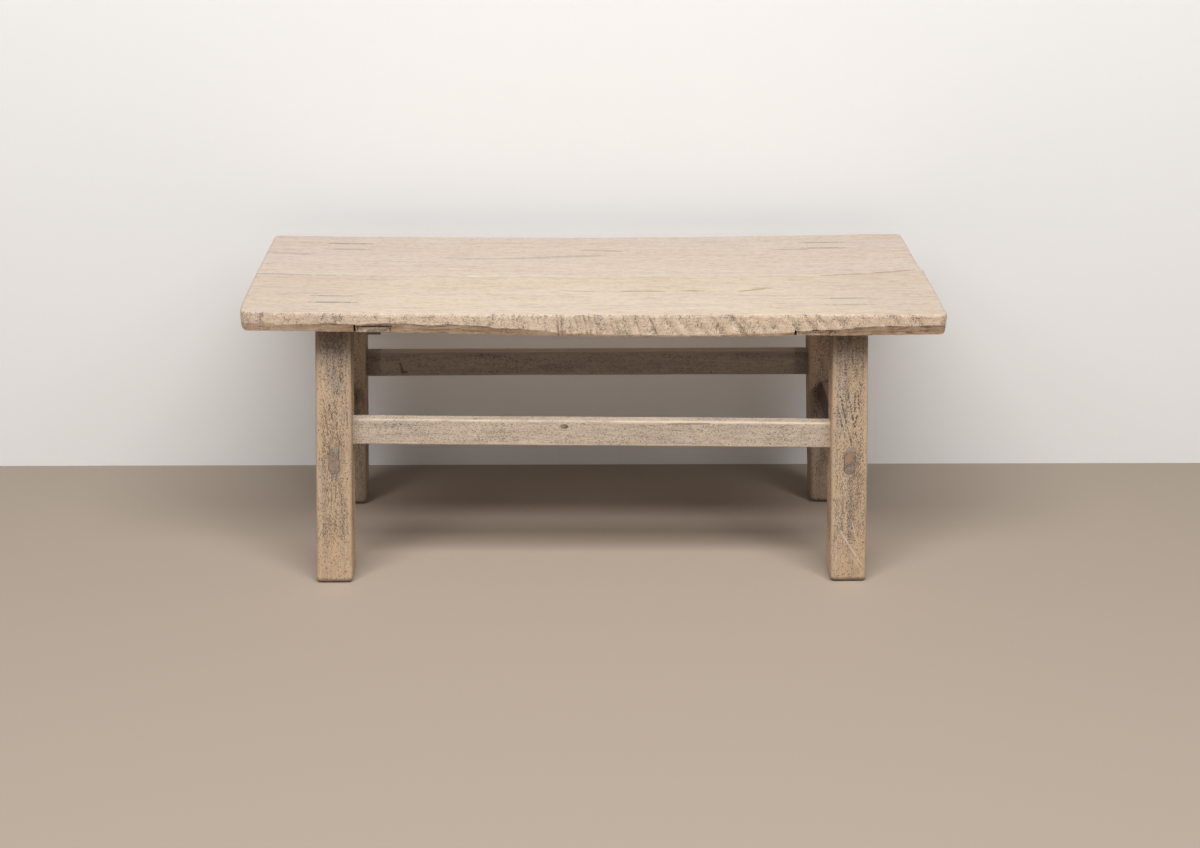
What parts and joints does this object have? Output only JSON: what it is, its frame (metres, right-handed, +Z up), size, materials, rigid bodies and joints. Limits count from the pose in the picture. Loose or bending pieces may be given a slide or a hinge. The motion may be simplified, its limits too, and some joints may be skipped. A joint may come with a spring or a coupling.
{
  "type": "kang table",
  "caption": "Low elm kang table: a two-board top on raked legs that are wedged through it, with side and end stretchers and dovetailed battens underneath.",
  "frame": {"origin": "on the floor, under the middle of the table's top", "axes": "+X along the table to its right end, +Y to its back, +Z up"},
  "size_m": [1.1, 0.4255, 0.484],
  "materials": {
    "elm_top": "bleached and worn, matt",
    "elm_frame": "weathered, matt",
    "bamboo_pin": "plain"
  },
  "bodies": {
    "root": {"top_front_board": "elm_top", "top_back_board": "elm_top", "batten_left": "elm_frame", "batten_right": "elm_frame", "leg_front_left": "elm_frame", "leg_front_right": "elm_frame", "leg_back_left": "elm_frame", "leg_back_right": "elm_frame", "stretcher_front": "elm_frame", "stretcher_back": "elm_frame", "stretcher_left": "elm_frame", "stretcher_right": "elm_frame", "wedge_front_left_outer": "elm_frame", "wedge_front_left_inner": "elm_frame", "wedge_front_right_inner": "elm_frame", "wedge_front_right_outer": "elm_frame", "wedge_back_left_outer": "elm_frame", "wedge_back_left_inner": "elm_frame", "wedge_back_right_inner": "elm_frame", "wedge_back_right_outer": "elm_frame", "seam_pins": "bamboo_pin"}
  },
  "joints": []
}
